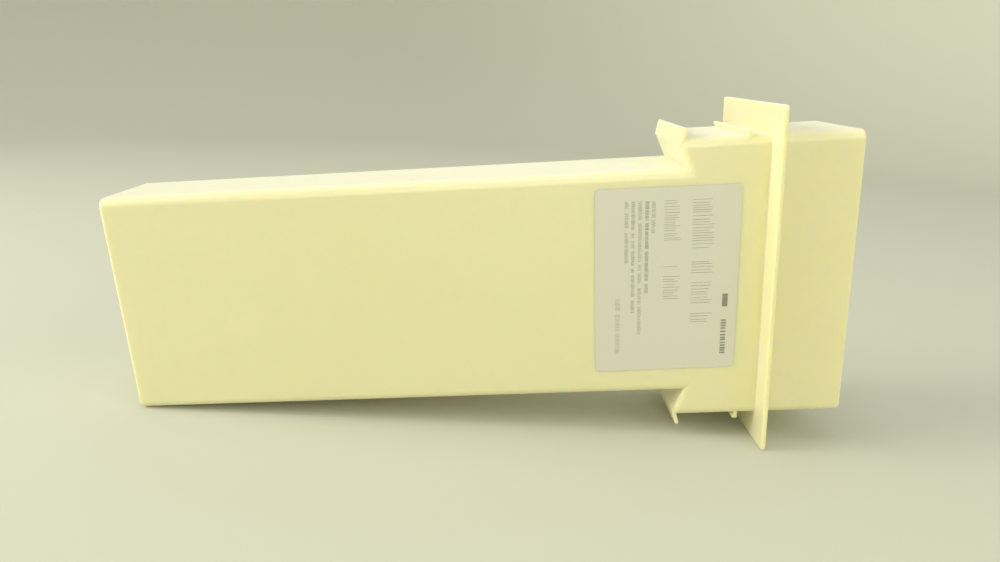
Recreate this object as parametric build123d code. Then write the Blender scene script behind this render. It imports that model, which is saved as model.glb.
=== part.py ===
from build123d import *
import os
from math import cos, radians, sin, sqrt, tan

# Ice chute cover: one hollow plastic moulding, with a paper label stuck on its front.
# Millimetres. +X runs along the tube from its closed end to its open mouth, +Y to the back, +Z up.
# The origin is on the tube's axis, in the plane of the flange's seating face.

# Tube: a closed end, four drafted sides and an open mouth
closed_reach = 347.6          # seating face to the outside of the closed end
mouth_reach = 47.6            # seating face to the rim of the open mouth
end_height = 120.2            # outside height at the closed end
end_depth = 57.1              # outside depth at the closed end
draft_angle = 0.41            # degrees on each side, so that it leaves the mould
wall = 2.5
edge_radius = 5.0             # outside edges along the tube
closed_end_radius = 2.0       # outside edges of the closed end
cavity_radius = 2.5           # inside edges
rim_outer_radius = 1.6        # edges of the mouth's rim
rim_inner_radius = 0.3

# Mouth: steps out above and below the tube, and is flush with it in front and behind
step_height = 15.4
shoulder_back = 41.0          # seating face to the foot of the shoulder
shoulder_lean = 22.7          # degrees that the shoulder overhangs the tube
shoulder_edge_radius = 2.5

# Lip: a thin fin that carries on from the shoulder and leans back over the mouth
lip_height = 5.2              # above the mouth's wall
lip_thickness = 2.0
lip_lean = 14.0               # degrees towards the flange
lip_tip_radius = 0.8
nose_drop = 2.5               # mouth's wall down to the nose where shoulder and lip meet
end_inset = 1.2               # lip and barb stop this far inside the front and back faces
foot_sink = 1.8               # and their feet reach this far below the rounded edges there

# Flange: a plate around the mouth that stops against the panel
flange_thickness = 2.6
flange_above = 14.9           # how far it stands out of the mouth on each side
flange_below = 16.2
flange_front = 12.9
flange_behind = 21.4
flange_corner = 2.0
flange_edge_radius = 0.8
flange_foot_radius = 0.8

# Barb: a low rib that the panel snaps past, so that the flange can't leave it
barb_gap = 9.6                # barb to seating face, the room for the panel
barb_width = 3.1
barb_height = 2.5
barb_hook = 1.2               # its crest overhangs its foot towards the closed end
barb_tip_radius = 0.5

# Ejector pin marks: faint raised discs on the centre line, above and below
pin_mark_radius = 3.5
pin_mark_height = 0.3
pin_mark_places = (-66.0, 31.0)

# Paper label on the front
label_width = 76.2
label_height = 101.6
label_thickness = 0.15
label_corner = 2.5
label_from_flange = 13.6
label_rise = 2.9              # its centre above the tube's axis

# How far a cutting or trimming solid runs past the face that it cuts
clear_past = 5.0

draft = radians(draft_angle)


def half_height(x, step=0.0):
    """Axis to the outside of the top wall at x, on the tube or a step above it."""
    return end_height / 2 + (closed_reach + x) * tan(draft) + step


def half_depth(x):
    """Axis to the outside of the front wall at x."""
    return end_depth / 2 + (closed_reach + x) * tan(draft)


def crest(x):
    """Axis to the outside of the mouth's top wall at x."""
    return half_height(x, step_height)


def shoulder_x(z, inset=0.0):
    """Where the shoulder stands at height z, moved into the mouth by inset."""
    lean = radians(shoulder_lean)
    return -shoulder_back - (z - half_height(-shoulder_back)) * tan(lean) + inset / cos(lean)


def across(points):
    """Side outline of (x, z) points, made solid over more than the whole depth."""
    outline = make_face(Polyline(*points, close=True))
    return extrude(Plane.XZ * outline, half_depth(mouth_reach) + clear_past, both=True)


def drafted_box(x_from, x_to, step=0.0, inset=0.0):
    """Box along X whose four sides open by the draft angle towards the mouth."""
    z_from, z_to = half_height(x_from, step) - inset, half_height(x_to, step) - inset
    y_from, y_to = half_depth(x_from) - inset, half_depth(x_to) - inset
    side = across([(x_from, z_from), (x_to, z_to), (x_to, -z_to), (x_from, -z_from)])
    plan = make_face(Polyline((x_from, y_from), (x_to, y_to), (x_to, -y_to), (x_from, -y_from), close=True))
    return side & extrude(plan, z_to + clear_past, both=True)


def lengthwise(box):
    """The four edges of a drafted box that run along X, leaning only by the draft."""
    return box.edges().filter_by(lambda edge: abs(edge.tangent_at(0.5).X) > cos(2 * draft))


def closed_end(box):
    """The edges around a drafted box's end face on the closed side."""
    return box.faces().sort_by(Axis.X)[0].edges()


def mouth_outline(x_to, inset=0.0):
    """Cuts a box back to the two shoulders, which meet in a V inside the tube."""
    top = crest(x_to) + clear_past
    return across([
        (shoulder_x(0, inset), 0),
        (shoulder_x(top, inset), top),
        (x_to, top),
        (x_to, -top),
        (shoulder_x(top, inset), -top),
    ])


def tube():
    box = drafted_box(-closed_reach, mouth_reach)
    box = fillet(lengthwise(box), edge_radius)
    return fillet(closed_end(box), closed_end_radius)


def mouth():
    """The stepped end, with its shoulders rounded where they meet its sides and top."""
    box = drafted_box(shoulder_x(crest(0)) - clear_past, mouth_reach, step_height)
    box = fillet(lengthwise(box), edge_radius) & mouth_outline(mouth_reach + clear_past)
    shoulders = [face for face in box.faces() if face.normal_at().X < -cos(2 * radians(shoulder_lean))]
    corners = [edge for face in shoulders for edge in face.edges() if abs(edge.center().Z) > clear_past]
    return fillet(corners, shoulder_edge_radius)


def cavity():
    """The hollow inside the walls, run out past the open rim."""
    beyond = mouth_reach + clear_past
    narrow = drafted_box(-closed_reach + wall, beyond, 0.0, wall)
    narrow = fillet([*lengthwise(narrow), *closed_end(narrow)], cavity_radius)
    wide = drafted_box(shoulder_x(crest(0)) - clear_past, beyond, step_height, wall)
    wide = fillet(lengthwise(wide), cavity_radius) & mouth_outline(beyond + clear_past, wall)
    return narrow + wide


def rib(points, tip_radius):
    """A rib over the tube's depth with a rounded crest, on the top and mirrored underneath."""
    bar = across(points)
    bar = fillet(bar.faces().sort_by(Axis.Z)[-1].edges().filter_by(Axis.Y), tip_radius)
    tall = step_height + lip_height + barb_height + clear_past
    bar = bar & drafted_box(-closed_reach, mouth_reach, tall, end_inset)
    return bar + mirror(bar, about=Plane.XY)


def foot_depth():
    """How far under the wall's face a rib's foot stays inside the rounded edges at its ends."""
    return edge_radius - sqrt(edge_radius**2 - (edge_radius - end_inset) ** 2) + foot_sink


def lip():
    slope = tan(radians(lip_lean))
    run = lip_thickness / cos(radians(lip_lean))
    wall_z = crest(-shoulder_back)
    foot_z = wall_z - foot_depth()
    nose_z = wall_z - nose_drop
    tip_z = wall_z + lip_height
    tip_x = shoulder_x(nose_z) + (tip_z - nose_z) * slope
    return rib([
        (shoulder_x(foot_z), foot_z),
        (shoulder_x(nose_z), nose_z),
        (tip_x, tip_z),
        (tip_x + run, tip_z),
        (tip_x + run - (tip_z - foot_z) * slope, foot_z),
    ], lip_tip_radius)


def barb():
    right = -barb_gap
    left = right - barb_width
    wall_z = crest(right)
    foot_z = wall_z - foot_depth()
    return rib([
        (left + barb_hook, foot_z),
        (left + barb_hook, wall_z),
        (left, wall_z + barb_height),
        (right, wall_z + barb_height),
        (right, foot_z),
    ], barb_tip_radius)


def flange():
    front = half_depth(0) + flange_front
    behind = half_depth(0) + flange_behind
    above = crest(0) + flange_above
    below = crest(0) + flange_below
    centre = Pos((behind - front) / 2, (above - below) / 2)
    plate = extrude(
        Plane.YZ * centre * RectangleRounded(front + behind, above + below, flange_corner),
        flange_thickness,
    )
    sides = plate.faces().sort_by(Axis.X)
    return fillet([*sides[0].edges(), *sides[-1].edges()], flange_edge_radius)


def pin_mark(x):
    """A disc half sunk in the wall at x, above and below."""
    wall_z = crest(x) if x > -shoulder_back else half_height(x)
    disc = Pos(x, 0, wall_z) * Rot(0, -draft_angle, 0) * Cylinder(pin_mark_radius, 2 * pin_mark_height)
    return disc + mirror(disc, about=Plane.XY)


def round_flange_feet(solid):
    """Fills the inside corners where the mouth passes through the flange."""
    feet = []
    for face_x in (0, flange_thickness):
        ring = solid.edges().filter_by_position(Axis.X, face_x - 0.01, face_x + 0.01)
        ring = [edge for edge in ring if abs(edge.center().Y) < half_depth(0) + 1]
        feet += [edge for edge in ring if abs(edge.center().Z) < crest(0) + 1]
    return fillet(feet, flange_foot_radius)


def round_rim(shell):
    """Rounds the open end's outer edge well and its inner edge a little."""
    rim = shell.faces().sort_by(Axis.X)[-1]
    shell = fillet(rim.outer_wire().edges(), rim_outer_radius)
    rim = shell.faces().sort_by(Axis.X)[-1]
    return fillet(rim.inner_wires()[0].edges(), rim_inner_radius)


def chute_cover():
    outside = tube() + mouth()
    for detail in (lip(), barb(), *map(pin_mark, pin_mark_places), flange()):
        outside += detail
    shell = round_flange_feet(outside) - cavity()
    return round_rim(shell)


def paper_label():
    """A sheet of paper, flat on the drafted front face."""
    x = -label_from_flange - label_width / 2
    face = Plane(
        origin=(x, -half_depth(x), label_rise),
        x_dir=(cos(draft), -sin(draft), 0),
        z_dir=(-sin(draft), -cos(draft), 0),
    )
    return extrude(face * RectangleRounded(label_width, label_height, label_corner), label_thickness)


os.makedirs("parts", exist_ok=True)
for name, solid in (("chute_cover", chute_cover()), ("paper_label", paper_label())):
    export_step(solid, f"parts/{name}.step")
    box = solid.bounding_box()
    print(name, len(solid.solids()), "solid, from", box.min, "to", box.max)
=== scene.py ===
import math
import random

import bmesh
import bpy
from mathutils import Euler, Matrix, Vector


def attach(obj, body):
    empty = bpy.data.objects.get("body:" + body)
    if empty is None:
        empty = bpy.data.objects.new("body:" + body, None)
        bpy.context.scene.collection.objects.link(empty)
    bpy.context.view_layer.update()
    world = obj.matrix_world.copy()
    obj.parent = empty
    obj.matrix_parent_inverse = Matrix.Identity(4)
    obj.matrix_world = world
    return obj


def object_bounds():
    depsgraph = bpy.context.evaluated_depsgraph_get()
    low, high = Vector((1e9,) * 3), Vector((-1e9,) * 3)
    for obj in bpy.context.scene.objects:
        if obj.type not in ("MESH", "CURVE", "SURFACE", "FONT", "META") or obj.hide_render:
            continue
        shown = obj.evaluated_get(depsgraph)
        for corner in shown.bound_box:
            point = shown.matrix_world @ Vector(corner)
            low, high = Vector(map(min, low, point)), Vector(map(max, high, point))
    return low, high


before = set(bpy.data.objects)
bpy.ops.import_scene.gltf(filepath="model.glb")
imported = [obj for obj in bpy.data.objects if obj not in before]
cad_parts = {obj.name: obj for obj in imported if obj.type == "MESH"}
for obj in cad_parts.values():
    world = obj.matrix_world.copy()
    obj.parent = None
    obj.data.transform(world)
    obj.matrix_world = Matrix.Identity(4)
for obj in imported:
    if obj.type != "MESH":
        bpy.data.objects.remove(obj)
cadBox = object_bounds()
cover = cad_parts["chute_cover"]
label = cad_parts["paper_label"]
mm = 0.001
print("frame loaded:", ", ".join(sorted(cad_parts)))


def linear(hexColour):
    # sRGB hex to the linear colour that a shader takes
    shares = [int(hexColour[i:i + 2], 16) / 255 for i in (1, 3, 5)]
    return [s / 12.92 if s <= 0.04045 else ((s + 0.055) / 1.055) ** 2.4 for s in shares] + [1.0]


def addNode(tree, kind, settings={}, values={}, links={}):
    # settings: the node's own options; values: its sockets; links: sockets fed by other nodes
    node = tree.nodes.new(kind)
    for name, value in settings.items():
        setattr(node, name, value)
    for name, value in values.items():
        node.inputs[name].default_value = value
    for name, source in links.items():
        tree.links.new(source, node.inputs[name])
    return node


def newMaterial(name):
    material = bpy.data.materials.new(name)
    material.use_nodes = True
    tree = material.node_tree
    tree.nodes.clear()
    place = addNode(tree, "ShaderNodeTexCoord")
    return material, tree, place.outputs["Object"]


def give(piece, material):
    piece.data.materials.clear()
    piece.data.materials.append(material)


def addNoise(tree, place, sizeMm, detail, roughness=0.5):
    # noise with features about sizeMm wide, on an object measured in metres
    return addNode(tree, "ShaderNodeTexNoise", {}, {
        "Scale": 1 / (sizeMm * mm), "Detail": detail, "Roughness": roughness,
    }, {"Vector": place}).outputs["Fac"]


def addMix(tree, share, first, second):
    # a Mix node's colour sockets share their names with those for numbers, so they go by place
    return addNode(tree, "ShaderNodeMix", {"data_type": "RGBA"}, {
        6: linear(first), 7: linear(second),
    }, {0: share}).outputs[2]


def addBump(tree, pattern, heightMm, strength=1.0, links={}):
    return addNode(tree, "ShaderNodeBump", {}, {
        "Strength": strength, "Distance": heightMm * mm,
    }, {"Height": pattern, **links}).outputs["Normal"]


def addShader(tree, settings, values, links):
    shader = addNode(tree, "ShaderNodeBsdfPrincipled", settings, values, links)
    addNode(tree, "ShaderNodeOutputMaterial", {}, {}, {"Surface": shader.outputs["BSDF"]})


# ABS, injection moulded: ivory, glossy from the polished tool, and thin enough that light
# soaks into it, so its edges glow and its shaded sides turn a deeper yellow. Handling has left
# a faint haze, which pales it where it is seen at a slant
ivoryAbs = {
    "colour": "#e5dfaa",
    "deeper": "#e2dca2",
    "mottleMm": 90,
    "mottleDetail": 2.0,
    "mottleRoughness": 0.45,
    "roughness": (0.285, 0.33),  # all above 0.28, where noise removal treats it evenly
    "scuffMm": 9,
    "scuffDetail": 5.0,
    "scuffRoughness": 0.62,
    "scuffRange": (0.35, 0.7),
    "ior": 1.54,
    "shine": 1.0,
    "haze": 0.35,
    "hazeRoughness": 0.7,
    "soakShare": 1.0,
    "soakMm": (4.0, 3.3, 1.3),
    "peelMm": 3.0,
    "peelDetail": 2.0,
    "peelHeightMm": 0.0012,
    "waveMm": 60,
    "waveDetail": 1.0,
    "waveHeightMm": 0.06,
}


def mouldedIvoryAbs(s):
    material, tree, place = newMaterial("mouldedIvoryAbs")
    mottle = addNoise(tree, place, s["mottleMm"], s["mottleDetail"], s["mottleRoughness"])
    scuff = addNoise(tree, place, s["scuffMm"], s["scuffDetail"], s["scuffRoughness"])
    roughness = addNode(tree, "ShaderNodeMapRange", {}, {
        "From Min": s["scuffRange"][0], "From Max": s["scuffRange"][1],
        "To Min": s["roughness"][0], "To Max": s["roughness"][1],
    }, {"Value": scuff})
    wave = addNoise(tree, place, s["waveMm"], s["waveDetail"])
    sunk = addBump(tree, wave, s["waveHeightMm"])
    peel = addNoise(tree, place, s["peelMm"], s["peelDetail"])
    addShader(tree, {"subsurface_method": "RANDOM_WALK"}, {
        "IOR": s["ior"], "Specular IOR Level": s["shine"],
        "Subsurface Weight": s["soakShare"],
        "Subsurface Radius": s["soakMm"], "Subsurface Scale": mm,
        "Sheen Weight": s["haze"], "Sheen Roughness": s["hazeRoughness"],
    }, {
        "Base Color": addMix(tree, mottle, s["colour"], s["deeper"]),
        "Roughness": roughness.outputs["Result"],
        "Normal": addBump(tree, peel, s["peelHeightMm"], links={"Normal": sunk}),
    })
    return material


give(cover, mouldedIvoryAbs(ivoryAbs))
print("chute cover: ivory moulding")

# Uncoated label paper: dull, a little grey, with short fibres that catch the light
labelPaper = {
    "colour": "#d3d0b9",
    "fibre": "#d0ccb5",
    "fibreMm": 0.9,
    "fibreDetail": 6.0,
    "fibreRoughness": 0.7,
    "fibreHeightMm": 0.012,
    "roughness": 0.62,
    "ior": 1.5,
}


def uncoatedLabelPaper(s):
    material, tree, place = newMaterial("uncoatedLabelPaper")
    fibre = addNoise(tree, place, s["fibreMm"], s["fibreDetail"], s["fibreRoughness"])
    addShader(tree, {}, {"Roughness": s["roughness"], "IOR": s["ior"]}, {
        "Base Color": addMix(tree, fibre, s["colour"], s["fibre"]),
        "Normal": addBump(tree, fibre, s["fibreHeightMm"]),
    })
    return material


give(label, uncoatedLabelPaper(labelPaper))
print("label: paper")

# Print on the label: rows of plain strokes with no letters in them, read from the top down.
# All in mm. across: a row's base line, from the label's centre towards the flange; words: where
# each word starts, down from the row's start, and its length; short: the shortest stroke's share
labelPrint = {
    "frontNormalY": -0.9,
    "proudMm": 0.04,
    "topMm": 43.6,
    "ink": "#6f6d5c",
    "inkWorn": "#989580",
    "inkPatchMm": 1.6,
    "inkPatchDetail": 3.0,
    "inkRoughness": 0.55,
    "seed": 7,
    "strokeSpread": (0.8, 1.15),
    "pitchSpread": (0.7, 1.3),
    "rows": [
        {"across": 13.0, "tall": 12.2, "short": 0.7, "stroke": 0.2, "pitch": 1.55,
         "words": ((0, 27), (33.5, 6), (45, 12), (62.5, 5))},
        {"across": -1.8, "tall": 8.8, "short": 0.6, "stroke": 0.18, "pitch": 1.4,
         "words": ((0, 21.5), (35.5, 1), (41, 13))},
        {"across": -8.4, "tall": 2.1, "short": 0.7, "stroke": 0.16, "pitch": 0.62,
         "words": ((0, 9), (10, 7))},
        {"across": -11.8, "tall": 2.1, "short": 0.8, "stroke": 0.25, "pitch": 0.62,
         "words": ((0, 10), (11.5, 14), (27, 16), (45, 5))},
        {"across": -15.4, "tall": 2.1, "short": 0.7, "stroke": 0.16, "pitch": 0.62,
         "words": ((0, 10), (11.5, 21), (34, 3), (38.5, 6), (47, 9), (57.5, 16))},
        {"across": -19.0, "tall": 2.1, "short": 0.7, "stroke": 0.19, "pitch": 0.62,
         "words": ((0, 15), (17, 2), (21, 4), (26.5, 8), (36, 2), (39.5, 12), (54, 7))},
        {"across": -22.5, "tall": 2.1, "short": 0.7, "stroke": 0.17, "pitch": 0.62,
         "words": ((0, 3.5), (6, 8), (16.5, 16))},
        {"across": -27.4, "tall": 2.9, "short": 0.8, "stroke": 0.12, "pitch": 0.68,
         "words": ((53, 6.5), (61.5, 9.5), (73, 11.5))},
        {"across": 30.0, "tall": 2.9, "short": 0.9, "stroke": 0.85, "pitch": 1.6,
         "words": ((67, 19.5),)},
        {"across": 30.2, "tall": 2.9, "short": 1.0, "stroke": 8.5, "pitch": 12.0,
         "words": ((55.5, 1),)},
    ],
}


def labelPlane(frontNormalY):
    # centre, right-hand direction and outward normal of the label's face, which looks along -Y
    front = [face for face in label.data.polygons if face.normal.y < frontNormalY]
    area = sum(face.area for face in front)
    centre = sum((face.center * face.area for face in front), Vector()) / area
    normal = sum((face.normal * face.area for face in front), Vector()).normalized()
    return centre, Vector((0, 0, 1)).cross(normal).normalized(), normal


def addStroke(mesh, centre, right, normal, across, down, tall, thick, proud):
    # a thin closed bar whose long side points at the flange, half as deep in the paper as it
    # stands out of it
    up = Vector((0, 0, 1))
    corners = []
    for lift in (-proud / 2, proud):
        for a, d in ((-1, -1), (1, -1), (1, 1), (-1, 1)):
            spot = centre + right * (across + a * tall / 2) - up * (down + d * thick / 2)
            corners.append(mesh.verts.new(spot + normal * lift))
    low, high = corners[:4], corners[4:]
    mesh.faces.new(reversed(high))
    mesh.faces.new(low)
    for i in range(4):
        mesh.faces.new((low[i], high[i], high[(i + 1) % 4], low[(i + 1) % 4]))


def buildLabelPrint(s):
    draw = random.Random(s["seed"])
    centre, right, normal = labelPlane(s["frontNormalY"])
    mesh = bmesh.new()
    for row in s["rows"]:
        for start, length in row["words"]:
            down = start
            while down < start + length:
                tall = row["tall"] * draw.uniform(row["short"], 1.0)
                thick = row["stroke"] * draw.uniform(*s["strokeSpread"])
                addStroke(
                    mesh, centre, right, normal,
                    (row["across"] + tall / 2) * mm, (down - s["topMm"]) * mm,
                    tall * mm, thick * mm, s["proudMm"] * mm,
                )
                down += row["pitch"] * draw.uniform(*s["pitchSpread"])
    bmesh.ops.recalc_face_normals(mesh, faces=mesh.faces)
    data = bpy.data.meshes.new("label_print")
    mesh.to_mesh(data)
    mesh.free()
    piece = bpy.data.objects.new("label_print", data)
    bpy.context.scene.collection.objects.link(piece)
    return piece


# Toner: dark grey powder melted on the paper, dull, thinner in places
def fusedToner(s):
    material, tree, place = newMaterial("fusedToner")
    patch = addNoise(tree, place, s["inkPatchMm"], s["inkPatchDetail"])
    addShader(tree, {}, {"Roughness": s["inkRoughness"]}, {
        "Base Color": addMix(tree, patch, s["ink"], s["inkWorn"]),
    })
    return material


labelPrintPiece = buildLabelPrint(labelPrint)
give(labelPrintPiece, fusedToner(labelPrint))
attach(labelPrintPiece, "root")
print("label print:", len(labelPrintPiece.data.polygons), "faces")

# The floor: matt backdrop cloth whose short nap takes all shine off it, spread as a pale bowl that
# is flat under the object and rises far away on all sides. The cover rests on its closed end's
# lower edge and on the flange, so the floor leans with it
floorBowl = {
    "colour": "#c8c8b1",
    "flatM": 1.5,
    "riseM": 0.9,
    "riseDegrees": 80,
    "rings": 24,
    "spokes": 128,
    "restTries": 4,
    "weaveMm": 1.1,
    "weaveDetail": 2.0,
    "napHeightMm": 0.1,
    "napStrength": 0.3,
    "roughness": 0.95,
    "shine": 0.15,
}


def restOn(corners, split, tries):
    # tilt of the plane that touches the lowest points on both sides of the split, and the one of
    # them that lies at the flange
    tilt = 0.0
    for attempt in range(tries):
        up = Vector((math.sin(tilt), 0, math.cos(tilt)))
        foot = min((c for c in corners if c.x > split), key=up.dot)
        heel = min((c for c in corners if c.x < split), key=up.dot)
        tilt = math.atan2(heel.z - foot.z, foot.x - heel.x)
    return tilt, foot


def buildFloor(s):
    mesh = bmesh.new()
    rings = []
    for i in range(s["rings"] + 1):
        slope = math.radians(s["riseDegrees"]) * i / s["rings"]
        radius = s["flatM"] + s["riseM"] * math.sin(slope)
        height = s["riseM"] * (1 - math.cos(slope))
        ring = []
        for k in range(s["spokes"]):
            turn = 2 * math.pi * k / s["spokes"]
            ring.append(mesh.verts.new((radius * math.cos(turn), radius * math.sin(turn), height)))
        rings.append(ring)
    mesh.faces.new(rings[0])
    for inner, outer in zip(rings, rings[1:]):
        for k in range(s["spokes"]):
            j = (k + 1) % s["spokes"]
            mesh.faces.new((inner[k], outer[k], outer[j], inner[j])).smooth = True
    data = bpy.data.meshes.new("floor")
    mesh.to_mesh(data)
    mesh.free()
    floor = bpy.data.objects.new("floor", data)
    bpy.context.scene.collection.objects.link(floor)
    corners = [v.co for v in cover.data.vertices]
    middle = sum(c.x for c in cadBox) / 2
    tilt, foot = restOn(corners, middle, s["restTries"])
    along = Vector((-math.cos(tilt), 0, math.sin(tilt)))
    centre = foot + along * (foot.x - middle)
    floor.matrix_world = Matrix.Translation(centre) @ Matrix.Rotation(tilt, 4, "Y")
    print("floor leans", round(math.degrees(tilt), 2), "degrees")
    return floor


def paleBackdropCloth(s):
    material, tree, place = newMaterial("paleBackdropCloth")
    weave = addNoise(tree, place, s["weaveMm"], s["weaveDetail"])
    addShader(tree, {}, {
        "Base Color": linear(s["colour"]), "Roughness": s["roughness"],
        "Specular IOR Level": s["shine"],
    }, {"Normal": addBump(tree, weave, s["napHeightMm"], s["napStrength"])})
    return material


floor = buildFloor(floorBowl)
give(floor, paleBackdropCloth(floorBowl))

# Soft, neutral studio light aimed at the middle of the object: discs, with places and sizes in
# metres, and one wide window far off to the left, which lights the whole floor evenly
studioLights = [
    {"name": "leftLight", "place": (-1.4, -0.2, 0.68), "size": 1.0, "watts": 11.5},
    {"name": "frontLight", "place": (-0.1, -1.5, 0.45), "size": 1.4, "watts": 6.2},
    {"name": "topLight", "place": (-0.15, -0.2, 1.4), "size": 0.5, "watts": 2.2},
    {"name": "rightLight", "place": (1.2, -0.9, 0.8), "size": 1.2, "watts": 4.6},
    {"name": "backLight", "place": (-0.4, 1.2, 1.1), "size": 1.4, "watts": 1.5},
]
windowLight = {
    "name": "windowLight", "place": (-10.0, -1.0, 3.6), "spreadDegrees": 20, "wattsPerM2": 1.5,
}
roomLight = {"colour": "#ffffff", "strength": 0.7}

target = (cadBox[0] + cadBox[1]) / 2


def hang(lamp, place):
    lampObject = bpy.data.objects.new(lamp.name, lamp)
    lampObject.location = place
    lampObject.rotation_euler = (target - Vector(place)).to_track_quat("-Z", "Y").to_euler()
    bpy.context.scene.collection.objects.link(lampObject)


for s in studioLights:
    lamp = bpy.data.lights.new(s["name"], "AREA")
    lamp.shape = "DISK"
    lamp.size = s["size"]
    lamp.energy = s["watts"]
    hang(lamp, s["place"])

window = bpy.data.lights.new(windowLight["name"], "SUN")
window.angle = math.radians(windowLight["spreadDegrees"])
window.energy = windowLight["wattsPerM2"]
hang(window, windowLight["place"])

world = bpy.data.worlds.new("studio")
world.use_nodes = True
world.node_tree.nodes.clear()
sky = addNode(world.node_tree, "ShaderNodeBackground", {}, {
    "Color": linear(roomLight["colour"]), "Strength": roomLight["strength"],
})
addNode(world.node_tree, "ShaderNodeOutputWorld", {}, {}, {"Surface": sky.outputs["Background"]})
bpy.context.scene.world = world
print("lights:", len(studioLights) + 1)

# The photograph's camera, solved from the object's edges; its image is 1000 by 562 pixels
photoCamera = {
    "place": (-137.05 * mm, -393.36 * mm, 117.23 * mm),
    "turnDegrees": (73.0923, 2.5499, -0.2265),
    "lensMm": 25.5587,
    "sensorMm": 36.0,
    "nearestM": 0.01,
}
cameraData = bpy.data.cameras.new("photoCamera")
cameraData.sensor_fit = "HORIZONTAL"
cameraData.sensor_width = photoCamera["sensorMm"]
cameraData.lens = photoCamera["lensMm"]
cameraData.clip_start = photoCamera["nearestM"]
camera = bpy.data.objects.new("photoCamera", cameraData)
camera.location = photoCamera["place"]
camera.rotation_euler = Euler([math.radians(a) for a in photoCamera["turnDegrees"]], "XYZ")
bpy.context.scene.collection.objects.link(camera)
bpy.context.scene.camera = camera
bpy.context.scene.view_settings.view_transform = "Standard"
